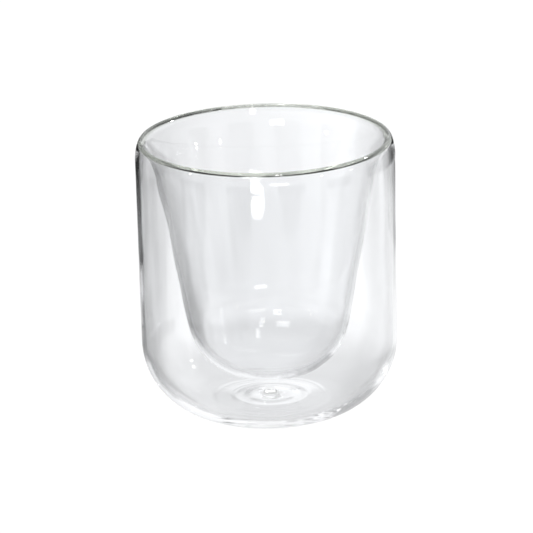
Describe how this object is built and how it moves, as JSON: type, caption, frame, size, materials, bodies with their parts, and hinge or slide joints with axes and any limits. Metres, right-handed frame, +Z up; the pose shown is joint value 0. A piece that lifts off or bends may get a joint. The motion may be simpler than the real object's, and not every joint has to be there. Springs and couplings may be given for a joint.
{
  "type": "double walled glass cup",
  "caption": "Clear double walled glass cup: a tulip shaped inner bowl fused at the rim to a straight outer shell with a rounded base and a plugged vent hole.",
  "frame": {"origin": "centre of the foot ring, on the surface that the cup stands on", "axes": "+Z up along the axis of the cup; it is round, so X and Y are free"},
  "size_m": [0.085, 0.085, 0.093],
  "materials": {
    "shell_glass": "clear, blown and fire polished",
    "bowl_glass": "clear, blown and fire polished",
    "rim_glass": "clear with a faint green grey edge, fire polished",
    "plug_silicone": "translucent silicone, satin"
  },
  "bodies": {
    "root": {"outer_shell": "shell_glass", "inner_bowl": "bowl_glass", "rim_bead": "rim_glass", "vent_plug": "plug_silicone"}
  },
  "joints": []
}
